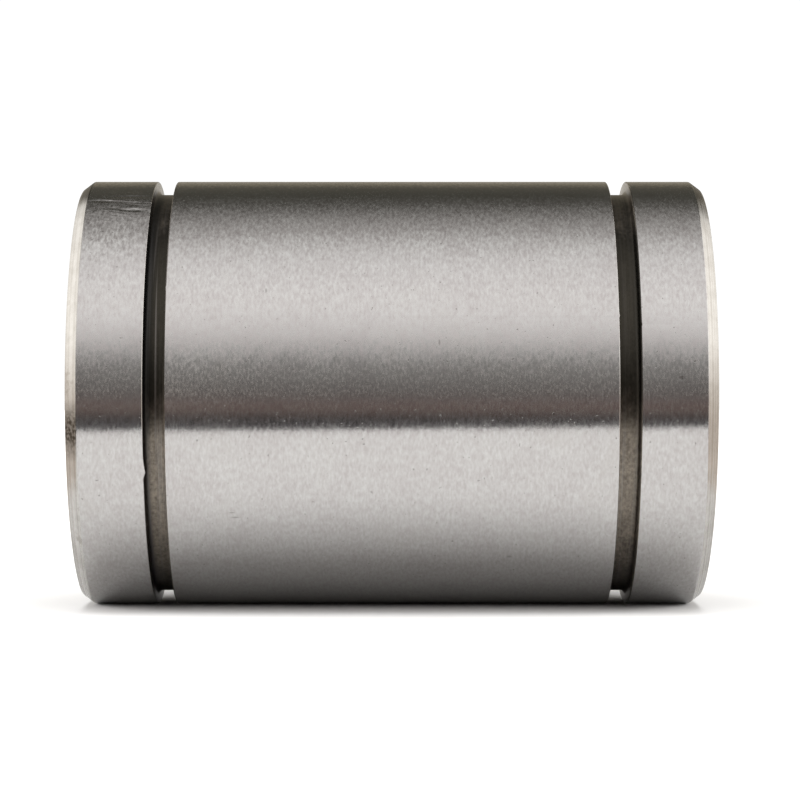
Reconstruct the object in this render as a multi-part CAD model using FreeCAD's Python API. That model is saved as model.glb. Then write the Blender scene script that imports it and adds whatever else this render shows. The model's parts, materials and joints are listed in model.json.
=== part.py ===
import FreeCAD, Part
import math
import os

# Linear ball bushing for a 25 mm shaft: closed type, with a retaining ring groove near each end,
# six recirculating ball circuits and a lip seal at each end.
# Millimetres. The bore axis is X, the origin is on it at mid length, and Z is up.
# The front end is at +X, the rear end is at -X, and the two ends are mirror images.

# Outside
SHAFT_DIAMETER = 25.0
OUTER_DIAMETER = 40.0
LENGTH = 58.0
END_CHAMFER_LENGTH = 1.0
END_CHAMFER_DEPTH = 0.75
GROOVE_SPAN = 44.1  # over the far walls of the two retaining ring grooves
GROOVE_WIDTH = 1.85
GROOVE_DIAMETER = 37.5
EDGE_BREAK = 0.06  # on the corners of the grooves

# Balls, and the loops that they run in
CIRCUITS = 6
BALL_DIAMETER = 3.175
BALL_PITCH = 3.24
ROW_BALLS = 11  # in each straight row
TURN_BALLS = 3  # in each half-circle turn
TURN_RADIUS = 3.23
RETURN_PITCH_RADIUS = 16.0  # from the bore axis to the return row's centres
CHANNEL_CLEARANCE = 0.1
LAND_CLEARANCE = 0.03

# Inside of the sleeve
RELIEF_RADIUS = 17.7  # over the return rows, and all round over the turns
RELIEF_HALF_ANGLE = 9.5  # degrees, over each return row
LAND_RAMP = 0.8  # length of the sloping lead-in at each end of a load land
LAND_ROOT = 0.4  # how deep a land is rooted in the sleeve's wall
SEAT_RADIUS = 18.0
SEAT_DEPTH = 5.0  # from the end face to the seal's shoulder
SNAP_GROOVE_RADIUS = 18.6
SNAP_GROOVE_WIDTH = 1.2
SNAP_GROOVE_SETBACK = 0.8  # from the end face to the groove
MOUTH_CHAMFER = 0.3

# Retainer, moulded in one piece, with a rib along each return row that slides into a relief
RETAINER_BORE_RADIUS = 12.75
RETAINER_RADIUS = 15.6
RETAINER_END_GAP = 0.1  # to each seal
RETAINER_MOUTH_CHAMFER = 0.4
RIB_RADIUS = 17.6
RIB_HALF_ANGLE = 8.9  # degrees
RIB_ROOT = 0.4  # how deep a rib is rooted in the retainer's wall

# Seals and snap rings
INSERT_THICKNESS = 0.6
INSERT_INNER_RADIUS = 14.6
LIP_RADIUS = 12.525
# The rubber's free surface, from its inner face over the lip and the crease behind it to its
# outer face, as distances from the seal's shoulder and radii.
RUBBER_SURFACE = [
    (0.0, 13.6),
    (1.0, 13.2),
    (1.7, LIP_RADIUS),
    (2.1, LIP_RADIUS),
    (2.4, 13.1),
    (2.4, 13.5),
    (1.8, 14.0),
    (2.5, 14.8),
]
RUBBER_THICKNESS = 2.5
SNAP_RING_THICKNESS = 1.1
SNAP_RING_INNER_RADIUS = 17.0
SNAP_RING_GAP = 24.0  # degrees

OUTER_RADIUS = OUTER_DIAMETER / 2
HALF_LENGTH = LENGTH / 2
BALL_RADIUS = BALL_DIAMETER / 2
CHANNEL_RADIUS = BALL_RADIUS + CHANNEL_CLEARANCE
LOAD_PITCH_RADIUS = SHAFT_DIAMETER / 2 + BALL_RADIUS
LAND_RADIUS = LOAD_PITCH_RADIUS + BALL_RADIUS + LAND_CLEARANCE
ROW_HALF_LENGTH = ROW_BALLS * BALL_PITCH / 2
LAND_HALF_LENGTH = ROW_HALF_LENGTH + LAND_RAMP / 2
LAND_HALF_ANGLE = 180.0 / CIRCUITS - RELIEF_HALF_ANGLE
SEAT_START = HALF_LENGTH - SEAT_DEPTH
SNAP_GROOVE_FAR = HALF_LENGTH - SNAP_GROOVE_SETBACK
SNAP_GROOVE_NEAR = SNAP_GROOVE_FAR - SNAP_GROOVE_WIDTH
FRONT, REAR = 1, -1

# Each loop is a stadium in one plane, through the centre lines of its two rows. The first circuit's
# load row is straight above the bore axis, and its return row is one turn's diameter away.
ORIGIN = FreeCAD.Vector(0, 0, 0)
BORE_AXIS = FreeCAD.Vector(1, 0, 0)
ROW_DISTANCE = 2 * TURN_RADIUS
RETURN_ANGLE = math.acos(
    (LOAD_PITCH_RADIUS**2 + RETURN_PITCH_RADIUS**2 - ROW_DISTANCE**2)
    / (2 * LOAD_PITCH_RADIUS * RETURN_PITCH_RADIUS)
)
LOAD_CENTRE = FreeCAD.Vector(0, 0, LOAD_PITCH_RADIUS)
RETURN_CENTRE = FreeCAD.Vector(
    0,
    RETURN_PITCH_RADIUS * math.sin(RETURN_ANGLE),
    RETURN_PITCH_RADIUS * math.cos(RETURN_ANGLE),
)
ACROSS = (RETURN_CENTRE - LOAD_CENTRE) / ROW_DISTANCE
OUTWARD = BORE_AXIS.cross(ACROSS)
LOOP_CENTRE = (LOAD_CENTRE + RETURN_CENTRE) / 2
RETURN_MIDDLE = -math.degrees(RETURN_ANGLE)  # as a turn about the bore axis from +Z
LAND_MIDDLE = RETURN_MIDDLE + 180.0 / CIRCUITS


def ring(outline, degrees=360.0, start=0.0):
    """The (x, radius) outline turned about the bore axis from start, an angle from +Z."""
    corners = [FreeCAD.Vector(x, 0, radius) for x, radius in outline]
    face = Part.Face(Part.makePolygon(corners + corners[:1]))
    face.rotate(ORIGIN, BORE_AXIS, start)
    return face.revolve(ORIGIN, BORE_AXIS, degrees)


def sector(outline, middle, half_angle):
    """The part of a ring that lies within half_angle of the middle angle, in degrees."""
    return ring(outline, 2 * half_angle, middle - half_angle)


def both_ends(half):
    """A closed outline from its front half, which starts and stops nearest mid length."""
    return half + [(-x, radius) for x, radius in reversed(half)]


def at_end(end, outline):
    """An outline drawn for the front end, or its mirror image for the rear end."""
    return [(end * x, radius) for x, radius in outline]


def at_circuit(shape, circuit):
    """A copy of a shape that was made for the first circuit, turned to another one."""
    copy = shape.copy()
    copy.rotate(ORIGIN, BORE_AXIS, circuit * 360.0 / CIRCUITS)
    return copy


def at_each_circuit(shape):
    return [at_circuit(shape, circuit) for circuit in range(CIRCUITS)]


def turn_centre(end):
    return LOOP_CENTRE + BORE_AXIS * (end * ROW_HALF_LENGTH)


def outer_sleeve():
    """Hardened sleeve: ground outside, with six load lands inside that the balls roll on."""
    groove_far = GROOVE_SPAN / 2
    groove_near = groove_far - GROOVE_WIDTH
    groove_radius = GROOVE_DIAMETER / 2
    outside = [
        (groove_near - EDGE_BREAK, OUTER_RADIUS),
        (groove_near, OUTER_RADIUS - EDGE_BREAK),
        (groove_near, groove_radius),
        (groove_far, groove_radius),
        (groove_far, OUTER_RADIUS - EDGE_BREAK),
        (groove_far + EDGE_BREAK, OUTER_RADIUS),
        (HALF_LENGTH - END_CHAMFER_LENGTH, OUTER_RADIUS),
        (HALF_LENGTH, OUTER_RADIUS - END_CHAMFER_DEPTH),
    ]
    inside = [
        (HALF_LENGTH, SEAT_RADIUS + MOUTH_CHAMFER),
        (HALF_LENGTH - MOUTH_CHAMFER, SEAT_RADIUS),
        (SNAP_GROOVE_FAR, SEAT_RADIUS),
        (SNAP_GROOVE_FAR, SNAP_GROOVE_RADIUS),
        (SNAP_GROOVE_NEAR, SNAP_GROOVE_RADIUS),
        (SNAP_GROOVE_NEAR, SEAT_RADIUS),
        (SEAT_START, SEAT_RADIUS),
        (SEAT_START, RELIEF_RADIUS),
    ]
    land_outline = [
        (-LAND_HALF_LENGTH, RELIEF_RADIUS + LAND_ROOT),
        (-LAND_HALF_LENGTH, LAND_RADIUS + LAND_RAMP),
        (-LAND_HALF_LENGTH + LAND_RAMP, LAND_RADIUS),
        (LAND_HALF_LENGTH - LAND_RAMP, LAND_RADIUS),
        (LAND_HALF_LENGTH, LAND_RADIUS + LAND_RAMP),
        (LAND_HALF_LENGTH, RELIEF_RADIUS + LAND_ROOT),
    ]
    land = sector(land_outline, LAND_MIDDLE, LAND_HALF_ANGLE)
    return ring(both_ends(outside + inside)).multiFuse(at_each_circuit(land))


def channel():
    """The space that the first circuit's balls run in: a round floor, and open outwards."""
    top = OUTER_RADIUS - LOAD_PITCH_RADIUS
    side = ACROSS * CHANNEL_RADIUS
    start = LOAD_CENTRE - BORE_AXIS * ROW_HALF_LENGTH
    floor = Part.Arc(start - side, start - OUTWARD * CHANNEL_RADIUS, start + side).toShape()
    walls = Part.makePolygon(
        [start + side, start + side + OUTWARD * top, start - side + OUTWARD * top, start - side]
    )
    section = Part.Face(Part.Wire([floor] + walls.Edges))
    load_row = section.extrude(BORE_AXIS * (2 * ROW_HALF_LENGTH))
    rear_turn = section.revolve(turn_centre(REAR), OUTWARD, -180)
    front_section = section.translated(BORE_AXIS * (2 * ROW_HALF_LENGTH))
    front_turn = front_section.revolve(turn_centre(FRONT), OUTWARD, 180)
    return_row = load_row.translated(ACROSS * ROW_DISTANCE)
    return load_row.multiFuse([rear_turn, front_turn, return_row])


def ball_retainer():
    """Moulded cage that keeps the six loops of balls in their channels."""
    half_length = SEAT_START - RETAINER_END_GAP
    body_outline = [
        (half_length, RETAINER_RADIUS),
        (half_length, RETAINER_BORE_RADIUS + RETAINER_MOUTH_CHAMFER),
        (half_length - RETAINER_MOUTH_CHAMFER, RETAINER_BORE_RADIUS),
    ]
    rib_outline = [(half_length, RIB_RADIUS), (half_length, RETAINER_RADIUS - RIB_ROOT)]
    rib = sector(both_ends(rib_outline), RETURN_MIDDLE, RIB_HALF_ANGLE)
    body = ring(both_ends(body_outline)).multiFuse(at_each_circuit(rib))
    return body.cut(at_each_circuit(channel()))


def seal_insert(end):
    """Pressed steel ring with an L section, which stiffens a seal."""
    outline = [
        (SEAT_START, INSERT_INNER_RADIUS),
        (SEAT_START + INSERT_THICKNESS, INSERT_INNER_RADIUS),
        (SEAT_START + INSERT_THICKNESS, SEAT_RADIUS - INSERT_THICKNESS),
        (SNAP_GROOVE_NEAR, SEAT_RADIUS - INSERT_THICKNESS),
        (SNAP_GROOVE_NEAR, SEAT_RADIUS),
        (SEAT_START, SEAT_RADIUS),
    ]
    return ring(at_end(end, outline))


def seal_lip(end):
    """Rubber moulded onto the insert, with a thin lip that wipes the shaft."""
    filled_radius = SEAT_RADIUS - INSERT_THICKNESS
    backed = [
        (RUBBER_THICKNESS, filled_radius),
        (INSERT_THICKNESS, filled_radius),
        (INSERT_THICKNESS, INSERT_INNER_RADIUS),
        (0.0, INSERT_INNER_RADIUS),
    ]
    outline = [(SEAT_START + depth, radius) for depth, radius in RUBBER_SURFACE + backed]
    return ring(at_end(end, outline))


def snap_ring(end):
    """Spring steel ring with a gap, which holds a seal in its seat."""
    outline = [
        (SNAP_GROOVE_NEAR, SNAP_RING_INNER_RADIUS),
        (SNAP_GROOVE_NEAR + SNAP_RING_THICKNESS, SNAP_RING_INNER_RADIUS),
        (SNAP_GROOVE_NEAR + SNAP_RING_THICKNESS, SNAP_GROOVE_RADIUS),
        (SNAP_GROOVE_NEAR, SNAP_GROOVE_RADIUS),
    ]
    return ring(at_end(end, outline), 360.0 - SNAP_RING_GAP, SNAP_RING_GAP / 2)


def balls(centres):
    return Part.makeCompound([Part.makeSphere(BALL_RADIUS, centre) for centre in centres])


def ball_row(row_centre):
    """Balls at an even pitch along one straight side of the first circuit."""
    offsets = [(ball - (ROW_BALLS - 1) / 2) * BALL_PITCH for ball in range(ROW_BALLS)]
    return balls([row_centre + BORE_AXIS * offset for offset in offsets])


def turn_balls(end):
    """Balls at an even angle round one end of the first circuit, from the load row's side."""
    step = math.pi / TURN_BALLS
    centres = []
    for ball in range(TURN_BALLS):
        angle = (ball + 0.5) * step
        along = BORE_AXIS * (end * TURN_RADIUS * math.sin(angle))
        aside = ACROSS * (-TURN_RADIUS * math.cos(angle))
        centres.append(turn_centre(end) + along + aside)
    return balls(centres)


def all_pieces():
    """Every sub-part's name and shape."""
    pieces = {"outer_sleeve": outer_sleeve(), "ball_retainer": ball_retainer()}
    for end, side in ((FRONT, "front"), (REAR, "rear")):
        pieces[f"{side}_seal_insert"] = seal_insert(end)
        pieces[f"{side}_seal_lip"] = seal_lip(end)
        pieces[f"{side}_snap_ring"] = snap_ring(end)
    circuit_pieces = {
        "load_balls": ball_row(LOAD_CENTRE),
        "return_balls": ball_row(RETURN_CENTRE),
        "front_turn_balls": turn_balls(FRONT),
        "rear_turn_balls": turn_balls(REAR),
    }
    for name, shape in circuit_pieces.items():
        for circuit in range(CIRCUITS):
            pieces[f"{name}_{circuit + 1}"] = at_circuit(shape, circuit)
    return pieces


os.makedirs("parts", exist_ok=True)
for piece_name, piece_shape in all_pieces().items():
    piece_shape.exportStep(f"parts/{piece_name}.step")
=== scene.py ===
import json
import math

import bmesh
import bpy
from mathutils import Matrix, Vector


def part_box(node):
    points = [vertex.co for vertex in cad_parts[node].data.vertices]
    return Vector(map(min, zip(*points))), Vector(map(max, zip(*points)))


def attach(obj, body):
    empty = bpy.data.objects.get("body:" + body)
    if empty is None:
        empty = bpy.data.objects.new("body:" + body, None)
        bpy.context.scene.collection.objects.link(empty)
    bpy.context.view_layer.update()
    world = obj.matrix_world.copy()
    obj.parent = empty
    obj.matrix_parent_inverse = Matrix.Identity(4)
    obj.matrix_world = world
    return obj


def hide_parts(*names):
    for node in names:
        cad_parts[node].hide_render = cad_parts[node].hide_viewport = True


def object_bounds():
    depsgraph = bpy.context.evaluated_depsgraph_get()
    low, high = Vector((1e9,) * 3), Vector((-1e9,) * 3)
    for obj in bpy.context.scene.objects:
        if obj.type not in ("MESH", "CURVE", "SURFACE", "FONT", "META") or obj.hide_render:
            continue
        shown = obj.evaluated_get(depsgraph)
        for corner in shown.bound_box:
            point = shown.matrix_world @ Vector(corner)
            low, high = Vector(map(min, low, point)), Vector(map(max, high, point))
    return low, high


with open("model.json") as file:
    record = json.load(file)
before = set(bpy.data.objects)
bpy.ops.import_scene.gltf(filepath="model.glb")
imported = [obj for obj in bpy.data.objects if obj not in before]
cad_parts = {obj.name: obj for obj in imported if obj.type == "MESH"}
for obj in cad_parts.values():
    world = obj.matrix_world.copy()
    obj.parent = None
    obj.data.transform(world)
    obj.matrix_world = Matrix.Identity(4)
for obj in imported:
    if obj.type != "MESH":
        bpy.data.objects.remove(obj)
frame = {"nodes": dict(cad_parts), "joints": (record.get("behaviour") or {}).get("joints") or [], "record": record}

# A closed linear ball bushing lies on its side on a white sheet, in soft studio light. The shaft's
# axis is +X, up is +Z, and the camera looks along +Y. Lengths are in metres, angles in degrees.
CAD_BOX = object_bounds()
MM = 0.001
MOUNTS = {mount["name"]: mount for mount in frame["record"]["mounts"]}
FRONT, REAR = 1, -1
ENDS = ((FRONT, "front"), (REAR, "rear"))
CIRCUITS = 6
SHELL = "bushing_shell"

# Sleeve, outside: its radius is the least that the CAD box has, so that it stays inside that box
HALF_LENGTH = CAD_BOX[1].x
OUTER_RADIUS = min(CAD_BOX[1].y, CAD_BOX[1].z, -CAD_BOX[0].y, -CAD_BOX[0].z)
CHAMFER_LENGTH = 1.0 * MM
CHAMFER_DEPTH = 0.75 * MM
CHAMFER_ROUNDING = 0.25 * MM
GROOVE_CENTRE = MOUNTS["front_retaining_ring_groove"]["pos_m"][0]
GROOVE_WIDTH = MOUNTS["front_retaining_ring_groove"]["dims"]["length_mm"] * MM
GROOVE_RADIUS = MOUNTS["front_retaining_ring_groove"]["dims"]["r_mm"] * MM
GROOVE_EDGE_ROUNDING = 0.11 * MM
GROOVE_NEAR_ROUNDING = 0.12 * MM
GROOVE_FAR_ROUNDING = 0.4 * MM

# Burrs on the grooves' edges, where they face the camera: the edge's x, the angles from +Z where the
# burr starts, peaks and ends, and how far it stands along X
GROOVE_NEAR = GROOVE_CENTRE - GROOVE_WIDTH / 2
GROOVE_FAR = GROOVE_CENTRE + GROOVE_WIDTH / 2
BURRS = (
    (-GROOVE_FAR, 105.5, 111.0, 112.6, 0.2 * MM),
    (GROOVE_NEAR, 68.6, 70.0, 70.6, 0.06 * MM),
    (GROOVE_FAR, 71.0, 72.4, 73.0, 0.05 * MM),
    (-GROOVE_NEAR, 61.0, 62.0, 63.6, -0.05 * MM),
)
BURR_COLUMNS = 30

# Sleeve, inside
SEAT_RADIUS = 18.0 * MM
SEAT_START = HALF_LENGTH - 5.0 * MM
MOUTH_CHAMFER = 0.3 * MM
SNAP_GROOVE_RADIUS = 18.6 * MM
SNAP_GROOVE_FAR = HALF_LENGTH - 0.8 * MM
SNAP_GROOVE_NEAR = SNAP_GROOVE_FAR - 1.2 * MM
SMALL_ROUNDING = 0.06 * MM
RELIEF_RADIUS = 17.7 * MM
LAND_RADIUS = 15.705 * MM
LAND_RAMP = 0.8 * MM
LAND_HALF_LENGTH = 18.22 * MM
LAND_HALF_ANGLE = 20.5
LAND_EDGE_ANGLE = 0.5

# Seals: the rubber's outline is given as its distance out from the seat's inner end, its radius and
# its rounding. It fills the insert, and its lip stands in from there.
INSERT_THICKNESS = 0.6 * MM
INSERT_INNER_RADIUS = 14.6 * MM
INSERT_WALL_RADIUS = SEAT_RADIUS - INSERT_THICKNESS
INSERT_EDGE_ROUNDING = 0.1 * MM
INSERT_BEND_ROUNDING = 0.5 * MM
LIP_RADIUS = MOUNTS["shaft_bore"]["dims"]["r_mm"] * MM
RUBBER_THICKNESS = 2.5 * MM
RUBBER_OUTLINE = (
    (0.0, 13.6 * MM, 0.0),
    (1.0 * MM, 13.2 * MM, 0.5 * MM),
    (1.7 * MM, LIP_RADIUS, 0.08 * MM),
    (2.1 * MM, LIP_RADIUS, 0.08 * MM),
    (2.4 * MM, 13.1 * MM, 0.12 * MM),
    (2.4 * MM, 13.5 * MM, 0.15 * MM),
    (1.8 * MM, 14.0 * MM, 0.3 * MM),
    (RUBBER_THICKNESS, 14.8 * MM, 0.3 * MM),
    (RUBBER_THICKNESS, INSERT_WALL_RADIUS, 0.1 * MM),
    (INSERT_THICKNESS, INSERT_WALL_RADIUS, 0.0),
    (INSERT_THICKNESS, INSERT_INNER_RADIUS, 0.0),
    (0.0, INSERT_INNER_RADIUS, 0.0),
)

# Snap rings, with their gap in degrees at the top
SNAP_RING_THICKNESS = 1.1 * MM
SNAP_RING_INNER_RADIUS = 17.0 * MM
SNAP_RING_ROUNDING = 0.12 * MM
SNAP_RING_GAP = 24.0

# Balls: where the three in a turn stand on its half circle, from the load row to the return row
TURN_BALL_ANGLES = (30, 90, 150)

# Fineness of the pieces
COLUMNS = 288
COARSE_COLUMNS = 144
ANGLE_DECIMALS = 4
ARC_STEPS = 5
BALL_DIVISIONS = 4
SHARP_EDGE_ANGLE = 35.0


# ---------------------------------------------------------------- outlines and turned pieces


def rounded(corners):
    """An outline of (x, radius, rounding, finish) corners, with each rounded corner as an arc.

    Each point keeps the finish of the stretch that starts there. A corner's own arc takes the
    finish of the stretch before it.
    """
    points = []
    count = len(corners)
    for index, (x, radius, rounding, finish) in enumerate(corners):
        here = Vector((x, radius))
        before = Vector(corners[index - 1][:2])
        after = Vector(corners[(index + 1) % count][:2])
        if not rounding:
            points.append((here.x, here.y, finish))
            continue
        back = (before - here).normalized()
        on = (after - here).normalized()
        half = back.angle(on) / 2
        reach = rounding / math.tan(half)
        centre = here + (back + on).normalized() * (rounding / math.sin(half))
        start = here + back * reach - centre
        end = here + on * reach - centre
        sweep = start.angle_signed(end)
        for step in range(ARC_STEPS + 1):
            spoke = start.copy()
            spoke.rotate(Matrix.Rotation(-sweep * step / ARC_STEPS, 2))
            point = centre + spoke
            last = step == ARC_STEPS
            points.append((point.x, point.y, finish if last else corners[index - 1][3]))
    return points


def even_angles(count):
    """Angles in degrees that part a full turn evenly."""
    return [360.0 * step / count for step in range(count)]


def turned(name, outline_at, angles, finishes, closed=True):
    """A solid of revolution about X from the closed outline at each angle, measured from +Z."""
    mesh = bpy.data.meshes.new(name)
    work = bmesh.new()
    columns = []
    tags = []
    for angle in angles:
        outline = outline_at(angle)
        tags = [finish for _, _, finish in outline]
        sin, cos = math.sin(math.radians(angle)), math.cos(math.radians(angle))
        columns.append([work.verts.new((x, -radius * sin, radius * cos)) for x, radius, _ in outline])
    count = len(tags)
    strips = len(angles) if closed else len(angles) - 1
    for strip in range(strips):
        near, far = columns[strip], columns[(strip + 1) % len(angles)]
        for row in range(count):
            after = (row + 1) % count
            face = work.faces.new((near[row], near[after], far[after], far[row]))
            face.material_index = finishes.index(tags[row])
            face.smooth = True
    if not closed:
        for column in (columns[0], columns[-1]):
            work.faces.new(column).material_index = finishes.index(tags[0])
    bmesh.ops.recalc_face_normals(work, faces=work.faces)
    work.to_mesh(mesh)
    work.free()
    piece = bpy.data.objects.new(name, mesh)
    bpy.context.scene.collection.objects.link(piece)
    return piece


def mirrored(end, corners):
    """Corners drawn for the front end, or their mirror image for the rear end."""
    return [(end * x, radius, rounding, finish) for x, radius, rounding, finish in corners]


def dress(piece, node, materials):
    """Gives a new piece of the shell its materials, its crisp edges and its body."""
    for material in materials:
        piece.data.materials.append(material)
    sharp_edges(piece)
    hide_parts(node)
    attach(piece, SHELL)


def sharp_edges(piece):
    """Marks the edges that stay crisp, and leaves the rest smooth."""
    work = bmesh.new()
    work.from_mesh(piece.data)
    for edge in work.edges:
        edge.smooth = edge.calc_face_angle(0.0) < math.radians(SHARP_EDGE_ANGLE)
    work.to_mesh(piece.data)
    work.free()


def on_sleeve(x_mm, elevation):
    """A point on the ground face, by its place along X and its angle up from the camera's side."""
    angle = math.radians(elevation)
    return (x_mm * MM, -OUTER_RADIUS * math.cos(angle), OUTER_RADIUS * math.sin(angle))


# Marks on the steel that the photo shows, each a spot and its reach along and around. A mark is
# whole over the core of its reach, and fades from there.
MARK_CORE = 0.3
SMEAR = (on_sleeve(-25.0, 59.0), (4.6 * MM, 3.4 * MM))
ROUGH_PATCH = (on_sleeve(-26.0, 46.0), (6.0 * MM, 7.5 * MM))
DENTS = (
    (on_sleeve(-23.6, 56.5), (1.4 * MM, 0.38 * MM)),
    (on_sleeve(-26.4, 61.5), (1.8 * MM, 0.34 * MM)),
    (on_sleeve(-24.2, 64.5), (2.2 * MM, 0.4 * MM)),
)
CHAMFER_STAIN = (on_sleeve(-28.5, -10.0), (2.0 * MM, 2.9 * MM))
SCUFFS = (
    (on_sleeve(-14.0, -34.0), (0.5 * MM, 0.12 * MM)),
    (on_sleeve(-14.3, -32.5), (0.35 * MM, 0.1 * MM)),
    (on_sleeve(10.6, -48.0), (0.3 * MM, 0.2 * MM)),
    (on_sleeve(-11.2, 27.0), (0.15 * MM, 0.3 * MM)),
    (on_sleeve(-26.2, 47.0), (0.2 * MM, 0.2 * MM)),
    (on_sleeve(25.6, 3.5), (0.3 * MM, 0.25 * MM)),
    (on_sleeve(4.2, 12.5), (0.12 * MM, 0.4 * MM)),
)

# Painted shade at the groove's outer wall and at its foot: how far from it the shade begins, and from where it is
# whole
WALL_SHADE = (0.65 * MM, 0.2 * MM)
FOOT_SHADE = (1.0 * MM, 0.6 * MM)

# Where the chamfer's painted shade ends, as distances from the end face
CHAMFER_SHADE_EDGE = (0.08 * MM, 0.25 * MM)

# Heights where the steel's finish or its painted shade changes: where the change begins and
# where it is whole, as shares of the sleeve's radius from its axis
SPECKLED_ABOVE = (-0.1, 0.0)
SPECKLED_BELOW = (0.94, 0.84)
RUBBED_ABOVE = (-0.1, 0.12)
# Painted shade in the grooves above the middle, fading out near the top
GROOVE_SHADE_ABOVE = (0.0, 0.2)
GROOVE_SHADE_BELOW = (1.02, 0.85)
# Where the grooves' outer walls turn lighter near the top
PALE_WALL_ABOVE = (0.92, 0.96)
# Painted shade at the top of the chamfers
CHAMFER_SHADE_ABOVE = (0.865, 0.905)


# ---------------------------------------------------------------- materials


# The sockets of a Mix node that blends colours, which share their names with other sockets
MIX_SHARE = 0
MIX_FIRST_COLOUR = 6
MIX_SECOND_COLOUR = 7
MIX_RESULT_COLOUR = 2


class Shader:
    """A material's node tree, with short calls for what every material here needs."""

    def __init__(self, name):
        """An empty node tree with an output."""
        self.material = bpy.data.materials.new(name)
        self.material.use_nodes = True
        self.tree = self.material.node_tree
        self.tree.nodes.clear()
        self.output = self.tree.nodes.new("ShaderNodeOutputMaterial")

    def node(self, kind, inputs=(), **settings):
        """A new node with its settings, and with each input linked or set to a value."""
        made = self.tree.nodes.new(kind)
        for key, value in settings.items():
            setattr(made, key, value)
        for key, value in dict(inputs).items():
            if isinstance(value, bpy.types.NodeSocket):
                self.tree.links.new(value, made.inputs[key])
            else:
                made.inputs[key].default_value = value
        return made

    def vector(self, operation, *operands):
        """The result of a vector operation."""
        inputs = dict(enumerate(operands))
        return self.node("ShaderNodeVectorMath", inputs, operation=operation).outputs["Vector"]

    def length(self, vector):
        """How long a vector is."""
        return self.node("ShaderNodeVectorMath", {0: vector}, operation="LENGTH").outputs["Value"]

    def number(self, operation, *operands):
        """The result of an operation on numbers."""
        inputs = dict(enumerate(operands))
        return self.node("ShaderNodeMath", inputs, operation=operation).outputs[0]

    def parts(self, vector):
        """The X, Y and Z of a vector."""
        return self.node("ShaderNodeSeparateXYZ", {0: vector}).outputs

    def coordinates(self):
        """The piece's own coordinates, in metres."""
        return self.node("ShaderNodeTexCoord").outputs["Object"]

    def place(self, along, around):
        """The piece's own coordinates, scaled apart along the axis and around it, per metre."""
        return self.vector("MULTIPLY", self.coordinates(), (along, around, around))

    def noise(self, along, around, detail=2.0, roughness=0.5, distortion=0.0):
        """Noise from 0 to 1, with its fineness along the axis and around it, per metre."""
        return self.node(
            "ShaderNodeTexNoise",
            {
                "Vector": self.place(along, around),
                "Scale": 1.0,
                "Detail": detail,
                "Roughness": roughness,
                "Distortion": distortion,
            },
        ).outputs["Fac"]

    def band(self, value, low, high, to_low=0.0, to_high=1.0):
        """The value, with low to high spread over to_low to to_high and held beyond them."""
        return self.node(
            "ShaderNodeMapRange",
            {"Value": value, "From Min": low, "From Max": high, "To Min": to_low, "To Max": to_high},
        ).outputs["Result"]

    def blend(self, share, first, second):
        """The first colour where the share is 0, and the second where it is 1."""
        sockets = {MIX_SHARE: share, MIX_FIRST_COLOUR: first, MIX_SECOND_COLOUR: second}
        return self.node("ShaderNodeMix", sockets, data_type="RGBA").outputs[MIX_RESULT_COLOUR]

    def sum(self, *terms):
        """The sum of (value, weight) terms."""
        total = None
        for value, weight in terms:
            total = self.number("MULTIPLY_ADD", value, weight, 0.0 if total is None else total)
        return total

    def product(self, first, second):
        """One number times the other."""
        return self.number("MULTIPLY", first, second)

    def near(self, spot, reach):
        """1 at a spot on the piece and 0 beyond its reach, which is (along, around) in metres."""
        along, around = reach
        away = self.vector("SUBTRACT", self.coordinates(), spot)
        scaled = self.vector("MULTIPLY", away, (1 / along, 1 / around, 1 / around))
        return self.band(self.length(scaled), 1.0, MARK_CORE)

    def marks(self, spots):
        """All the small marks together, each as a spot and its reach."""
        return self.sum(*((self.near(*spot), 1.0) for spot in spots))

    def height_share(self):
        """Height on the piece, from -1 at the sleeve's bottom to 1 at its top."""
        return self.sum((self.parts(self.coordinates())["Z"], 1 / OUTER_RADIUS))

    def along(self):
        """Place along the axis, in metres: below 0 on the rear half and above 0 on the front half."""
        return self.parts(self.coordinates())["X"]

    def off_middle(self):
        """Distance from the middle of the axis, in metres."""
        return self.number("ABSOLUTE", self.along())

    def rear_share(self):
        """1 on the rear half of the piece and 0 on its front half."""
        return self.band(self.along(), 1.0 * MM, -1.0 * MM)

    def chamfer_share(self):
        """1 on the chamfers, fading to 0 just before the end faces."""
        start, whole = CHAMFER_SHADE_EDGE
        return self.band(self.off_middle(), HALF_LENGTH - start, HALF_LENGTH - whole)

    def groove_wall_share(self, start, whole):
        """1 at the groove's outer wall, fading to 0 between two distances from it."""
        return self.band(self.off_middle(), GROOVE_FAR - start, GROOVE_FAR - whole)

    def turning_marks(self, per_metre):
        """Fine rings left by the tool, on round walls, chamfers and flat faces alike."""
        parts = self.parts(self.coordinates())
        spoke = self.node("ShaderNodeCombineXYZ", {"Y": parts["Y"], "Z": parts["Z"]}).outputs[0]
        radius = self.length(spoke)
        place = self.node("ShaderNodeCombineXYZ", {"X": parts["X"], "Y": radius}).outputs[0]
        inputs = {"Vector": place, "Scale": per_metre, "Detail": 2.0}
        return self.node("ShaderNodeTexNoise", inputs).outputs["Fac"]

    def tipped(self, lean):
        """The surface's normal, leaning round the sleeve by a slope."""
        normal = self.node("ShaderNodeNewGeometry").outputs["Normal"]
        inputs = {0: self.around_tangent(), "Scale": lean}
        push = self.node("ShaderNodeVectorMath", inputs, operation="SCALE").outputs["Vector"]
        return self.vector("NORMALIZE", self.vector("ADD", push, normal))

    def bump(self, height, depth, normal=None):
        """A normal that follows a height of 0 to 1, at a depth in metres."""
        inputs = {"Height": height, "Distance": depth, "Strength": 1.0}
        if normal is not None:
            inputs["Normal"] = normal
        return self.node("ShaderNodeBump", inputs).outputs["Normal"]

    def surface(self, **inputs):
        """The finished material, from the shader's inputs with _ for each space."""
        spaced = {key.replace("_", " "): value for key, value in inputs.items()}
        shader = self.node("ShaderNodeBsdfPrincipled", spaced)
        self.tree.links.new(shader.outputs["BSDF"], self.output.inputs["Surface"])
        return self.material

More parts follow.
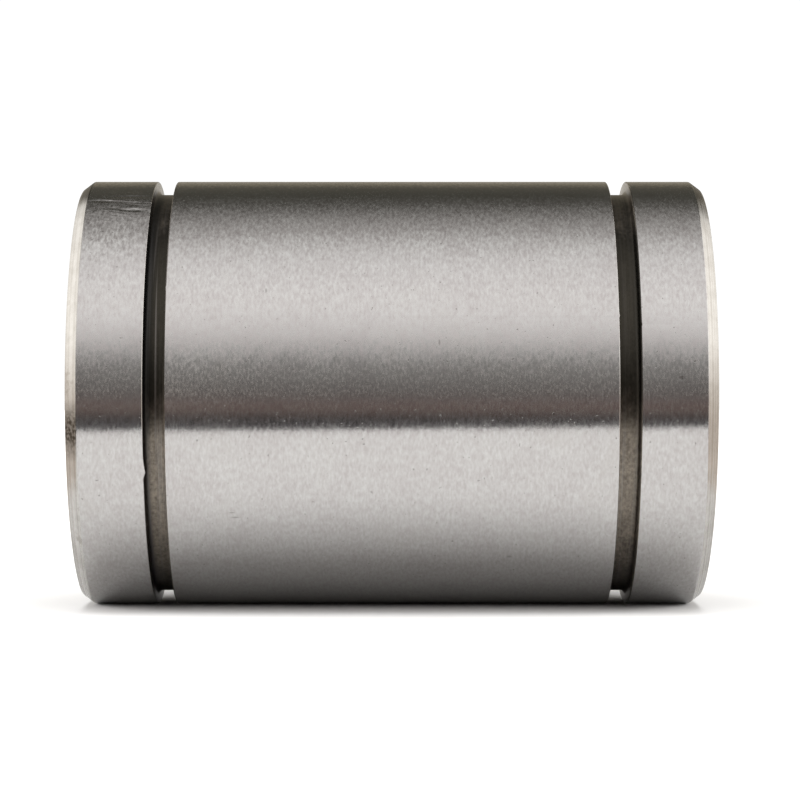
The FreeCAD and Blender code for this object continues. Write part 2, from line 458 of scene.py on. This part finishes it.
    def around_tangent(self):
        """The direction round the axis."""
        return self.node("ShaderNodeTangent", direction_type="RADIAL", axis="X").outputs["Tangent"]


def tint(red, green, blue):
    """An opaque colour."""
    return (red, green, blue, 1.0)


def ground_steel():
    """Ground bearing steel: short fine streaks round the sleeve, faint stains and a few marks."""
    s = Shader("ground_steel")
    streaks = s.noise(along=4300, around=1900, detail=1.0, roughness=0.6)
    mottle = s.noise(along=1500, around=1300, detail=3.0, roughness=0.6)
    stain = s.noise(along=170, around=130, detail=4.0, roughness=0.6, distortion=0.6)
    pits = s.band(s.noise(along=3600, around=3000, detail=1.0), 0.74, 0.79)
    tone = s.sum((streaks, 0.55), (mottle, 0.2), (stain, 0.25))
    colour = s.blend(s.band(tone, 0.35, 0.65), tint(0.535, 0.508, 0.50), tint(0.665, 0.66, 0.645))
    colour = s.blend(s.band(stain, 0.58, 0.75, 0.0, 0.3), colour, tint(0.50, 0.465, 0.44))
    colour = s.blend(s.sum((pits, 0.5)), colour, tint(0.16, 0.15, 0.14))
    marks = s.marks(SCUFFS)
    colour = s.blend(s.sum((marks, 0.45)), colour, tint(0.2, 0.19, 0.18))
    smear = s.near(*SMEAR)
    waves = s.noise(along=170, around=520, detail=3.0, roughness=0.6, distortion=1.6)
    colour = s.blend(s.sum((s.product(smear, waves), 0.8)), colour, tint(0.36, 0.35, 0.34))
    pepper = s.noise(along=5400, around=2800, detail=1.0)
    height = s.height_share()
    low = s.band(height, *SPECKLED_ABOVE, 0.3, 1.0)
    high = s.band(height, *SPECKLED_BELOW, 0.25, 1.0)
    specks = s.product(s.band(pepper, 0.3, 0.7), s.product(low, high))
    finish = s.sum((mottle, 0.04), (stain, 0.04), (smear, 0.08), (specks, 0.17))
    rough = s.band(finish, 0.02, 0.3, 0.113, 0.393)
    rubbed = s.band(height, *RUBBED_ABOVE, 0.012, 0.14)
    coarse = s.sum((s.near(*ROUGH_PATCH), 0.14), (rubbed, 1.0))
    lean = s.product(s.band(streaks, 0.0, 1.0, -0.5, 0.5), coarse)
    fine = s.sum((streaks, 0.3), (mottle, 0.5), (pits, -1.0), (marks, -2.0), (s.marks(DENTS), -7.0))
    normal = s.bump(fine, 6e-6, s.tipped(lean))
    normal = s.bump(s.product(smear, waves), 1.6e-4, normal)
    return s.surface(
        Base_Color=colour,
        Metallic=1.0,
        Roughness=rough,
        Anisotropic=0.5,
        Anisotropic_Rotation=0.25,
        Tangent=s.around_tangent(),
        Normal=normal,
    )


def groove_steel():
    """Groove turned before hardening: brown, with tool marks, and painted shade above the middle.

    The rear groove also has stronger lines, as on the photo, and more painted shade at its outer wall.
    """
    s = Shader("groove_steel")
    marks = s.noise(along=8000, around=40, detail=2.0, roughness=0.5)
    film = s.noise(along=900, around=420, detail=4.0, roughness=0.65, distortion=0.5)
    grit = s.noise(along=3400, around=2600, detail=2.0, roughness=0.6)
    tone = s.sum((film, 0.5), (grit, 0.5))
    colour = s.blend(s.band(tone, 0.38, 0.62), tint(0.135, 0.116, 0.096), tint(0.30, 0.263, 0.215))
    colour = s.blend(s.band(marks, 0.5, 0.65, 0.0, 0.4), colour, tint(0.33, 0.31, 0.29))
    height = s.height_share()
    # Painted shade: the groove is darker above the middle, fading out near the top
    painted_shade_above = s.band(s.sum((height, 1.0), (film, 0.4)), *GROOVE_SHADE_ABOVE)
    shade_below_top = s.band(s.sum((height, 1.0), (film, 0.3)), *GROOVE_SHADE_BELOW)
    colour = s.blend(s.sum((s.product(painted_shade_above, shade_below_top), 0.9)), colour, tint(0.030, 0.028, 0.022))
    rear = s.rear_share()
    lines = s.band(s.noise(along=3600, around=60, detail=1.0), 0.54, 0.66)
    lined = s.product(lines, s.band(rear, 0.0, 1.0, 0.06, 0.65))
    colour = s.blend(lined, colour, tint(0.22, 0.202, 0.19))
    wall = s.groove_wall_share(*WALL_SHADE)
    # Painted shade at the foot of the rear groove's outer wall, above the middle
    painted_foot_shade = s.product(s.groove_wall_share(*FOOT_SHADE), s.product(painted_shade_above, rear))
    # The outer wall is lighter near the top
    pale_wall_top = s.product(wall, s.band(height, *PALE_WALL_ABOVE))
    colour = s.blend(s.sum((painted_foot_shade, 0.65)), colour, tint(0.026, 0.025, 0.022))
    # Painted shade on the groove's outer wall, stronger on the rear groove
    painted_wall_shade = s.product(wall, s.band(rear, 0.0, 1.0, 0.25, 0.75))
    colour = s.blend(painted_wall_shade, colour, tint(0.035, 0.035, 0.036))
    colour = s.blend(s.sum((pale_wall_top, 0.9)), colour, tint(0.75, 0.715, 0.64))
    return s.surface(
        Base_Color=colour,
        Metallic=1.0,
        Roughness=s.band(tone, 0.3, 0.7, 0.3, 0.42),
        Anisotropic=0.6,
        Anisotropic_Rotation=0.25,
        Tangent=s.around_tangent(),
        Normal=s.bump(s.sum((marks, 0.6), (grit, 1.0), (film, 0.4)), 1.2e-5),
    )


def turned_steel():
    """End faces and chamfers, left bright from the tool, stained in one place, with painted shade at the top."""
    s = Shader("turned_steel")
    rings = s.turning_marks(7000)
    film = s.noise(along=700, around=500, detail=4.0, roughness=0.65)
    tone = s.sum((film, 0.5), (rings, 0.5))
    colour = s.blend(s.band(tone, 0.38, 0.62), tint(0.48, 0.46, 0.43), tint(0.68, 0.665, 0.64))
    colour = s.blend(s.band(film, 0.60, 0.70, 0.0, 0.5), colour, tint(0.30, 0.27, 0.23))
    grit = s.band(s.noise(along=4200, around=3200, detail=2.0), 0.42, 0.56, 0.6, 1.0)
    colour = s.blend(s.product(s.near(*CHAMFER_STAIN), grit), colour, tint(0.085, 0.074, 0.06))
    # Painted shade: the chamfers are darker near the top
    painted_shade_top = s.product(s.band(s.height_share(), *CHAMFER_SHADE_ABOVE), s.chamfer_share())
    colour = s.blend(s.sum((painted_shade_top, 0.88)), colour, tint(0.10, 0.09, 0.075))
    return s.surface(
        Base_Color=colour,
        Metallic=1.0,
        Roughness=s.band(rings, 0.3, 0.7, 0.22, 0.3),
        Normal=s.bump(s.sum((rings, 1.0), (film, 1.0)), 4e-6),
    )


def bore_steel():
    """Hardened inside of the sleeve, satin and a little darker."""
    s = Shader("bore_steel")
    marks = s.noise(along=6000, around=70, detail=2.0)
    film = s.noise(along=350, around=300, detail=4.0, roughness=0.6)
    colour = s.blend(s.band(film, 0.35, 0.65), tint(0.34, 0.325, 0.31), tint(0.45, 0.435, 0.42))
    return s.surface(
        Base_Color=colour,
        Metallic=1.0,
        Roughness=s.band(film, 0.3, 0.7, 0.3, 0.4),
        Normal=s.bump(s.sum((marks, 1.0), (film, 0.5)), 3e-6),
    )


def seal_rubber():
    """Black nitrile rubber, with a moulded bloom."""
    s = Shader("seal_rubber")
    pores = s.noise(along=4200, around=4200, detail=3.0, roughness=0.6)
    bloom = s.noise(along=420, around=420, detail=4.0, roughness=0.6)
    colour = s.blend(s.band(bloom, 0.35, 0.7), tint(0.012, 0.012, 0.013), tint(0.034, 0.034, 0.036))
    return s.surface(
        Base_Color=colour,
        Roughness=s.band(bloom, 0.3, 0.7, 0.45, 0.62),
        Specular_IOR_Level=0.45,
        Normal=s.bump(s.sum((pores, 1.0), (bloom, 0.5)), 1.2e-5),
    )


def zinc_plate():
    """Zinc-plated pressed steel."""
    s = Shader("zinc_plate")
    cells = {"Vector": s.place(1500, 1500), "Scale": 1.0}
    crystals = s.node("ShaderNodeTexVoronoi", cells).outputs["Color"]
    film = s.noise(along=260, around=260, detail=4.0)
    colour = s.blend(s.band(film, 0.3, 0.7), tint(0.55, 0.57, 0.60), tint(0.68, 0.68, 0.66))
    return s.surface(
        Base_Color=colour,
        Metallic=1.0,
        Roughness=s.band(film, 0.3, 0.7, 0.26, 0.4),
        Normal=s.bump(s.sum((crystals, 0.3), (film, 1.0)), 4e-6),
    )


def spring_steel():
    """Oil-tempered spring steel, blue-black."""
    s = Shader("spring_steel")
    scale = s.noise(along=900, around=900, detail=4.0, roughness=0.6)
    colour = s.blend(s.band(scale, 0.35, 0.65), tint(0.09, 0.09, 0.10), tint(0.19, 0.185, 0.18))
    return s.surface(
        Base_Color=colour,
        Metallic=1.0,
        Roughness=s.band(scale, 0.3, 0.7, 0.3, 0.48),
        Normal=s.bump(scale, 8e-6),
    )


def ball_steel():
    """Lapped ball steel, close to a mirror."""
    s = Shader("ball_steel")
    haze = s.noise(along=900, around=900, detail=3.0)
    colour = s.blend(s.band(haze, 0.3, 0.7), tint(0.60, 0.59, 0.58), tint(0.66, 0.655, 0.65))
    return s.surface(
        Base_Color=colour,
        Metallic=1.0,
        Roughness=s.band(haze, 0.3, 0.7, 0.06, 0.12),
    )


def retainer_resin():
    """Ivory acetal resin, moulded: faint flow marks and a fine skin."""
    s = Shader("retainer_resin")
    skin = s.noise(along=3800, around=3800, detail=2.0)
    flow = s.noise(along=60, around=240, detail=3.0, distortion=0.8)
    colour = s.blend(s.band(flow, 0.35, 0.7), tint(0.68, 0.63, 0.52), tint(0.78, 0.74, 0.64))
    return s.surface(
        Base_Color=colour,
        Roughness=s.band(flow, 0.3, 0.7, 0.34, 0.46),
        Subsurface_Weight=0.15,
        Subsurface_Scale=0.0008,
        Normal=s.bump(s.sum((skin, 1.0), (flow, 0.6)), 6e-6),
    )


# ---------------------------------------------------------------- sleeve


def sleeve_half():
    """The front half's corners as (x, radius at a relief, radius at a land, rounding, finish)."""
    chamfer_radius = OUTER_RADIUS - CHAMFER_DEPTH
    ramp_radius = LAND_RADIUS + LAND_RAMP
    alike = [
        (GROOVE_NEAR, OUTER_RADIUS, GROOVE_EDGE_ROUNDING, "groove"),
        (GROOVE_NEAR, GROOVE_RADIUS, GROOVE_NEAR_ROUNDING, "groove"),
        (GROOVE_FAR, GROOVE_RADIUS, GROOVE_FAR_ROUNDING, "groove"),
        (GROOVE_FAR, OUTER_RADIUS, GROOVE_EDGE_ROUNDING, "ground"),
        (HALF_LENGTH - CHAMFER_LENGTH, OUTER_RADIUS, CHAMFER_ROUNDING, "turned"),
        (HALF_LENGTH, chamfer_radius, CHAMFER_ROUNDING, "turned"),
        (HALF_LENGTH, SEAT_RADIUS + MOUTH_CHAMFER, SMALL_ROUNDING, "turned"),
        (HALF_LENGTH - MOUTH_CHAMFER, SEAT_RADIUS, SMALL_ROUNDING, "bore"),
        (SNAP_GROOVE_FAR, SEAT_RADIUS, SMALL_ROUNDING, "bore"),
        (SNAP_GROOVE_FAR, SNAP_GROOVE_RADIUS, SMALL_ROUNDING, "bore"),
        (SNAP_GROOVE_NEAR, SNAP_GROOVE_RADIUS, SMALL_ROUNDING, "bore"),
        (SNAP_GROOVE_NEAR, SEAT_RADIUS, SMALL_ROUNDING, "bore"),
        (SEAT_START, SEAT_RADIUS, SMALL_ROUNDING, "bore"),
        (SEAT_START, RELIEF_RADIUS, 0.0, "bore"),
    ]
    corners = [(x, radius, radius, rounding, finish) for x, radius, rounding, finish in alike]
    corners += [
        (LAND_HALF_LENGTH + SMALL_ROUNDING, RELIEF_RADIUS, RELIEF_RADIUS, 0.0, "bore"),
        (LAND_HALF_LENGTH, RELIEF_RADIUS, ramp_radius, 0.0, "bore"),
        (LAND_HALF_LENGTH - LAND_RAMP, RELIEF_RADIUS, LAND_RADIUS, 0.0, "land"),
    ]
    return corners


def sleeve_corners(land):
    """All the sleeve's corners, at a relief (land 0), at a land (land 1) or between them."""
    half = []
    for x, relief, raised, rounding, finish in sleeve_half():
        half.append((x, relief + (raised - relief) * land, rounding, finish))
    rear = []
    for index in range(len(half) - 1, -1, -1):
        x, radius, rounding, _ = half[index]
        finish = half[index - 1][3] if index else "ground"
        rear.append((-x, radius, rounding, finish))
    return half + rear


def land_share(angle, land_middle):
    """How much of a land there is at an angle: 1 on it, 0 in the relief beside it."""
    period = 360.0 / CIRCUITS
    off = abs((angle - land_middle + period / 2) % period - period / 2)
    rise = (LAND_HALF_ANGLE + LAND_EDGE_ANGLE - off) / LAND_EDGE_ANGLE
    return min(1.0, max(0.0, rise))


def burred(corner, angle):
    """The corner, moved along X if it is on an edge that has a burr at this angle."""
    x, radius, rounding, finish = corner
    for edge, start, peak, end, height in BURRS:
        if radius == OUTER_RADIUS and math.isclose(x, edge) and start < angle < end:
            rising = (angle - start) / (peak - start)
            falling = (end - angle) / (end - peak)
            return (x + height * min(rising**2, falling), radius, rounding, finish)
    return corner


def sleeve_angles(land_middle):
    """Even columns, with closer ones where a burr is and where a land's edge rises."""
    angles = even_angles(COLUMNS)
    for _, start, _, end, _ in BURRS:
        for step in range(BURR_COLUMNS + 1):
            angles.append(start + (end - start) * step / BURR_COLUMNS)
    for circuit in range(CIRCUITS):
        middle = land_middle + circuit * 360.0 / CIRCUITS
        for side in (-1, 1):
            for share in (0.0, 0.5, 1.0):
                angles.append(middle + side * (LAND_HALF_ANGLE + share * LAND_EDGE_ANGLE))
    return sorted({round(angle % 360.0, ANGLE_DECIMALS) for angle in angles})


def outer_sleeve(land_middle):
    """The sleeve in one piece, with its grooves, burrs, seats and load lands."""
    finishes = ["ground", "groove", "turned", "bore", "land"]

    def outline_at(angle):
        corners = sleeve_corners(land_share(angle, land_middle))
        return rounded([burred(corner, angle) for corner in corners])

    piece = turned("ground_sleeve", outline_at, sleeve_angles(land_middle), finishes)
    materials = [ground_steel(), groove_steel(), turned_steel(), bore_steel(), bore_steel()]
    dress(piece, "outer_sleeve", materials)


# ---------------------------------------------------------------- seals and snap rings


def seal_insert(end, side, material):
    """The pressed cup that stiffens a seal, open outwards."""
    corners = [
        (SEAT_START, INSERT_INNER_RADIUS, INSERT_EDGE_ROUNDING, "zinc"),
        (SEAT_START, SEAT_RADIUS, INSERT_BEND_ROUNDING, "zinc"),
        (SNAP_GROOVE_NEAR, SEAT_RADIUS, INSERT_EDGE_ROUNDING, "zinc"),
        (SNAP_GROOVE_NEAR, INSERT_WALL_RADIUS, INSERT_EDGE_ROUNDING, "zinc"),
        (SEAT_START + INSERT_THICKNESS, INSERT_WALL_RADIUS, 0.0, "zinc"),
        (SEAT_START + INSERT_THICKNESS, INSERT_INNER_RADIUS, INSERT_EDGE_ROUNDING, "zinc"),
    ]
    outline = rounded(mirrored(end, corners))
    angles = even_angles(COARSE_COLUMNS)
    piece = turned(f"{side}_seal_stiffener", lambda angle: outline, angles, ["zinc"])
    dress(piece, f"{side}_seal_insert", [material])


def seal_lip(end, side, material):
    """The rubber moulded into the insert, with the lip that wipes the shaft."""
    corners = [
        (SEAT_START + distance, radius, rounding, "rubber")
        for distance, radius, rounding in RUBBER_OUTLINE
    ]
    outline = rounded(mirrored(end, corners))
    piece = turned(f"{side}_rubber_seal", lambda angle: outline, even_angles(COLUMNS), ["rubber"])
    dress(piece, f"{side}_seal_lip", [material])


def snap_ring(end, side, material):
    """The open ring that holds a seal in its seat."""
    far = SNAP_GROOVE_NEAR + SNAP_RING_THICKNESS
    places = (
        (SNAP_GROOVE_NEAR, SNAP_RING_INNER_RADIUS),
        (far, SNAP_RING_INNER_RADIUS),
        (far, SNAP_GROOVE_RADIUS),
        (SNAP_GROOVE_NEAR, SNAP_GROOVE_RADIUS),
    )
    corners = [(x, radius, SNAP_RING_ROUNDING, "spring") for x, radius in places]
    outline = rounded(mirrored(end, corners))
    span = 360.0 - SNAP_RING_GAP
    steps = range(COARSE_COLUMNS + 1)
    angles = [SNAP_RING_GAP / 2 + span * step / COARSE_COLUMNS for step in steps]
    piece = turned(f"{side}_wire_ring", lambda angle: outline, angles, ["spring"], closed=False)
    dress(piece, f"{side}_snap_ring", [material])


# ---------------------------------------------------------------- balls


def ball_group(name, node, body, centres, radius, material):
    """The balls that move together, as one piece of separate solids."""
    mesh = bpy.data.meshes.new(name)
    work = bmesh.new()
    for centre in centres:
        bmesh.ops.create_icosphere(
            work, subdivisions=BALL_DIVISIONS, radius=radius, matrix=Matrix.Translation(centre)
        )
    for face in work.faces:
        face.smooth = True
    work.to_mesh(mesh)
    work.free()
    mesh.materials.append(material)
    piece = bpy.data.objects.new(name, mesh)
    bpy.context.scene.collection.objects.link(piece)
    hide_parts(node)
    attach(piece, body)


def row_centres(node):
    """The ball centres and the ball radius of a straight row that lies along X, from its box."""
    low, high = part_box(node)
    radius = (high.z - low.z) / 2
    middle = (low + high) / 2
    gaps = round((high.x - low.x) / (2 * radius)) - 1
    first = low.x + radius
    pitch = (high.x - radius - first) / gaps
    centres = [Vector((first + ball * pitch, middle.y, middle.z)) for ball in range(gaps + 1)]
    return centres, radius


def turn_centres(joint_name, load, back, end):
    """The centres of a turn's balls, evenly round the half circle between two rows."""
    joint = next(joint for joint in frame["joints"] if joint["name"] == joint_name)
    centre = Vector(joint["pos_m"])
    arm = (back - load) / 2
    centres = []
    for degrees in TURN_BALL_ANGLES:
        angle = math.radians(degrees)
        along = Vector((end * arm.length * math.sin(angle), 0, 0))
        centres.append(centre - arm * math.cos(angle) + along)
    return centres


def circuit_balls(number, material):
    """All the balls of one circuit: its two rows, and its turn at each end."""
    load, radius = row_centres(f"load_balls_{number}")
    back, _ = row_centres(f"return_balls_{number}")
    circuit = f"circuit_{number}"
    middle = len(load) // 2
    groups = [
        (f"load_row_balls_{number}", f"load_balls_{number}", f"{circuit}_load_row", load),
        (f"return_row_balls_{number}", f"return_balls_{number}", f"{circuit}_return_row", back),
    ]
    for end, side in ENDS:
        joint = f"{circuit}_{side}_turn_travel"
        centres = turn_centres(joint, load[middle], back[middle], end)
        name, node = f"{side}_curve_balls_{number}", f"{side}_turn_balls_{number}"
        groups.append((name, node, f"{circuit}_{side}_turn", centres))
    for name, node, body, centres in groups:
        ball_group(name, node, body, centres, radius, material)


def land_middle_angle():
    """The middle of the first land, from +Z: halfway between two return rows."""
    low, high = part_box("return_balls_1")
    middle = (low + high) / 2
    back = -math.degrees(math.atan2(middle.y, middle.z))
    return back + 180.0 / CIRCUITS


# ---------------------------------------------------------------- studio


# The camera, fitted to the photo: lens and sensor in millimetres, shifts in frame widths
CAMERA_LENS = 131.3
CAMERA_SENSOR = 36.0
CAMERA_SHIFT_X = 0.0101
CAMERA_SHIFT_Y = -0.0094
CAMERA_DISTANCE = 0.2776
CAMERA_NEAR = 0.01
CAMERA_FAR = 50.0


def camera():
    """The photo's viewpoint, square to the side of the sleeve."""
    data = bpy.data.cameras.new("camera")
    data.sensor_width = CAMERA_SENSOR
    data.lens = CAMERA_LENS
    data.shift_x = CAMERA_SHIFT_X
    data.shift_y = CAMERA_SHIFT_Y
    data.clip_start = CAMERA_NEAR
    data.clip_end = CAMERA_FAR
    made = bpy.data.objects.new("camera", data)
    made.location = (0.0, -CAMERA_DISTANCE, 0.0)
    made.rotation_euler = (math.radians(90.0), 0.0, 0.0)
    bpy.context.scene.collection.objects.link(made)
    bpy.context.scene.camera = made


# Brightness of the surroundings by direction, as degrees up from the camera's side, over the top
# and down behind: a dark room in front, one wide soft box above, a dark gap behind it, and then a
# wall that is lightest at its foot. Set until the steel's bands lay as on the photo.
SOFT_LIGHT = (
    (-90, (0.10, 0.095, 0.09)),
    (-18, (0.062, 0.06, 0.064)),
    (-13, (0.078, 0.07, 0.07)),
    (-10, (0.16, 0.125, 0.112)),
    (-7, (0.20, 0.15, 0.138)),
    (-3, (0.155, 0.134, 0.128)),
    (1, (0.165, 0.155, 0.15)),
    (7, (0.22, 0.212, 0.205)),
    (13, (0.275, 0.268, 0.26)),
    (17, (0.36, 0.352, 0.346)),
    (21, (0.53, 0.52, 0.515)),
    (26, (0.69, 0.665, 0.66)),
    (32, (0.87, 0.845, 0.84)),
    (41, (1.0, 0.98, 0.975)),
    (50, (1.05, 1.03, 1.02)),
    (62, (1.0, 0.98, 0.975)),
    (78, (0.89, 0.875, 0.87)),
    (87, (0.74, 0.73, 0.72)),
    (96, (0.50, 0.485, 0.475)),
    (107, (0.335, 0.325, 0.315)),
    (114, (0.215, 0.208, 0.198)),
    (123, (0.106, 0.103, 0.093)),
    (134, (0.068, 0.066, 0.055)),
    (148, (0.10, 0.094, 0.076)),
    (159, (0.23, 0.205, 0.155)),
    (172, (0.36, 0.33, 0.28)),
    (180, (1.0, 1.0, 1.0)),
)

# The tent's side walls: their colours, and where they begin and change as shares of its radius
SIDE_INNER = (1.10, 1.07, 1.025)
SIDE_OUTER = (1.48, 1.44, 1.38)
SIDE_LOW = (0.75, 0.67, 0.60)
SIDE_START_LEFT = -0.43
SIDE_START_RIGHT = 0.53
SIDE_BLUR = 0.04
SIDE_INNER_TO_OUTER = (0.45, 0.8)
SIDE_LOW_TO_HIGH = (-0.05, 0.25)
TENT_RADIUS = 10.0
TENT_DIVISIONS = 4

# The floor, and the sheet on it, whose near edge slants a little
FLOOR_HALF = 3.0
SHEET_HALF_WIDTH = 0.05
SHEET_FAR = 0.3
SHEET_NEAR_LEFT = -0.0624
SHEET_NEAR_RIGHT = -0.0724
SHEET_LIFT = 0.01 * MM
SHEET_ALBEDO = 0.5
FLOOR_ALBEDO = 0.74

# The lights, which no steel mirrors, and the white that the camera sees beyond the floor
SUN_STRENGTH = 2.76
SUN_TILT = 9.0
SUN_WIDTH = 45.0
SIDE_LIGHT_STRENGTH = 2.5
SIDE_LIGHT_HEIGHT = 15.0
SURROUND_STRENGTH = 1.05


def staged(name, mesh):
    """A new object of the studio, which is no piece of the part."""
    made = bpy.data.objects.new(name, mesh)
    bpy.context.scene.collection.objects.link(made)
    return made


def of_tent(first, second):
    """Two shares of the tent's radius, in metres."""
    return first * TENT_RADIUS, second * TENT_RADIUS


def soft_light(s, parts):
    """The colours of SOFT_LIGHT round the X axis, from the parts of a position."""
    first, last = SOFT_LIGHT[0][0], SOFT_LIGHT[-1][0]
    angle = s.number("ARCTAN2", parts["Z"], s.product(parts["Y"], -1.0))
    turn = s.band(angle, math.radians(first), math.radians(last))
    ramp = s.node("ShaderNodeValToRGB", {"Fac": turn})
    stops = ramp.color_ramp.elements
    stops.remove(stops[-1])
    for degrees, colour in SOFT_LIGHT:
        spot = (degrees - first) / (last - first)
        stop = stops.new(spot) if spot else stops[0]
        stop.position = spot
        stop.color = tint(*colour)
    return ramp.outputs["Color"]


def side_walls(s, parts):
    """How much of a side wall there is at a position, and the wall's colour there."""
    left = s.band(parts["X"], *of_tent(SIDE_START_LEFT + SIDE_BLUR, SIDE_START_LEFT - SIDE_BLUR))
    right = s.band(parts["X"], *of_tent(SIDE_START_RIGHT - SIDE_BLUR, SIDE_START_RIGHT + SIDE_BLUR))
    outward = s.band(s.number("ABSOLUTE", parts["X"]), *of_tent(*SIDE_INNER_TO_OUTER))
    above = s.band(parts["Z"], *of_tent(*SIDE_LOW_TO_HIGH))
    high = s.blend(outward, tint(*SIDE_INNER), tint(*SIDE_OUTER))
    return s.sum((left, 1.0), (right, 1.0)), s.blend(above, tint(*SIDE_LOW), high)


def tent():
    """The surroundings that the steel mirrors. The camera sees through them to plain white."""
    mesh = bpy.data.meshes.new("tent")
    work = bmesh.new()
    bmesh.ops.create_icosphere(work, subdivisions=TENT_DIVISIONS, radius=TENT_RADIUS)
    work.to_mesh(mesh)
    work.free()
    made = staged("tent", mesh)
    made.visible_camera = False
    made.visible_shadow = False
    s = Shader("tent")
    s.material.cycles.emission_sampling = "NONE"
    parts = s.parts(s.node("ShaderNodeNewGeometry").outputs["Position"])
    share, side_colour = side_walls(s, parts)
    colour = s.blend(share, soft_light(s, parts), side_colour)
    light = s.node("ShaderNodeEmission", {"Color": colour, "Strength": 1.0})
    s.tree.links.new(light.outputs[0], s.output.inputs["Surface"])
    mesh.materials.append(s.material)


def white_paper(name, albedo):
    """Matt white paper, with a faint fibre."""
    s = Shader(name)
    fibre = s.noise(along=900, around=900, detail=3.0)
    dim, bright = (tint(shade, shade, shade) for shade in (albedo - 0.01, albedo + 0.01))
    colour = s.blend(fibre, dim, bright)
    return s.surface(Base_Color=colour, Roughness=1.0, Specular_IOR_Level=0.0)


def flat_quad(name, corners, material):
    """A flat stage object with four corners."""
    mesh = bpy.data.meshes.new(name)
    mesh.from_pydata(corners, [], [(0, 1, 2, 3)])
    mesh.materials.append(material)
    return staged(name, mesh)


def floor():
    """A white floor that the camera sees, and on it the smaller white sheet that the steel mirrors."""
    height = CAD_BOX[0].z
    lift = height + SHEET_LIFT
    ground_corners = [
        (side_x * FLOOR_HALF, side_y * FLOOR_HALF, height)
        for side_x, side_y in ((-1, -1), (1, -1), (1, 1), (-1, 1))
    ]
    sheet_corners = [
        (-SHEET_HALF_WIDTH, SHEET_NEAR_LEFT, lift),
        (SHEET_HALF_WIDTH, SHEET_NEAR_RIGHT, lift),
        (SHEET_HALF_WIDTH, SHEET_FAR, lift),
        (-SHEET_HALF_WIDTH, SHEET_FAR, lift),
    ]
    ground = flat_quad("floor", ground_corners, white_paper("floor_paper", FLOOR_ALBEDO))
    ground.visible_glossy = False
    sheet = flat_quad("sheet", sheet_corners, white_paper("sheet_paper", SHEET_ALBEDO))
    sheet.visible_camera = False
    sheet.visible_diffuse = False
    sheet.visible_shadow = False


def soft_sun(name, strength, turn):
    """Soft light from one direction that whitens the floor and lights matt pieces alone."""
    data = bpy.data.lights.new(name, "SUN")
    data.energy = strength
    data.angle = math.radians(SUN_WIDTH)
    made = bpy.data.objects.new(name, data)
    made.rotation_euler = [math.radians(angle) for angle in turn]
    bpy.context.scene.collection.objects.link(made)
    made.visible_glossy = False


def soft_lights():
    """Wide light from above, and low light from both sides that reaches under the ends."""
    soft_sun("overhead", SUN_STRENGTH, (SUN_TILT, 0.0, 0.0))
    for side, name in ((-1, "low_left"), (1, "low_right")):
        soft_sun(name, SIDE_LIGHT_STRENGTH, (0.0, side * (90.0 - SIDE_LIGHT_HEIGHT), 0.0))


def white_surround():
    """Plain white behind everything, which only the camera sees."""
    world = bpy.data.worlds.new("white_surround")
    bpy.context.scene.world = world
    world.use_nodes = True
    background = next(node for node in world.node_tree.nodes if node.type == "BACKGROUND")
    background.inputs["Color"].default_value = (1.0, 1.0, 1.0, 1.0)
    background.inputs["Strength"].default_value = SURROUND_STRENGTH
    for ray in ("diffuse", "glossy", "transmission", "scatter"):
        setattr(world.cycles_visibility, ray, False)


# ---------------------------------------------------------------- making


camera()
outer_sleeve(land_middle_angle())
zinc, rubber, spring = zinc_plate(), seal_rubber(), spring_steel()
for end, side in ENDS:
    seal_insert(end, side, zinc)
    seal_lip(end, side, rubber)
    snap_ring(end, side, spring)
steel_ball = ball_steel()
for number in range(1, CIRCUITS + 1):
    circuit_balls(number, steel_ball)
# The retainer keeps its CAD shape, so only its material is new
retainer = frame["nodes"]["ball_retainer"]
retainer.data.materials.clear()
retainer.data.materials.append(retainer_resin())
tent()
floor()
soft_lights()
white_surround()
bpy.context.scene.view_settings.view_transform = "Standard"
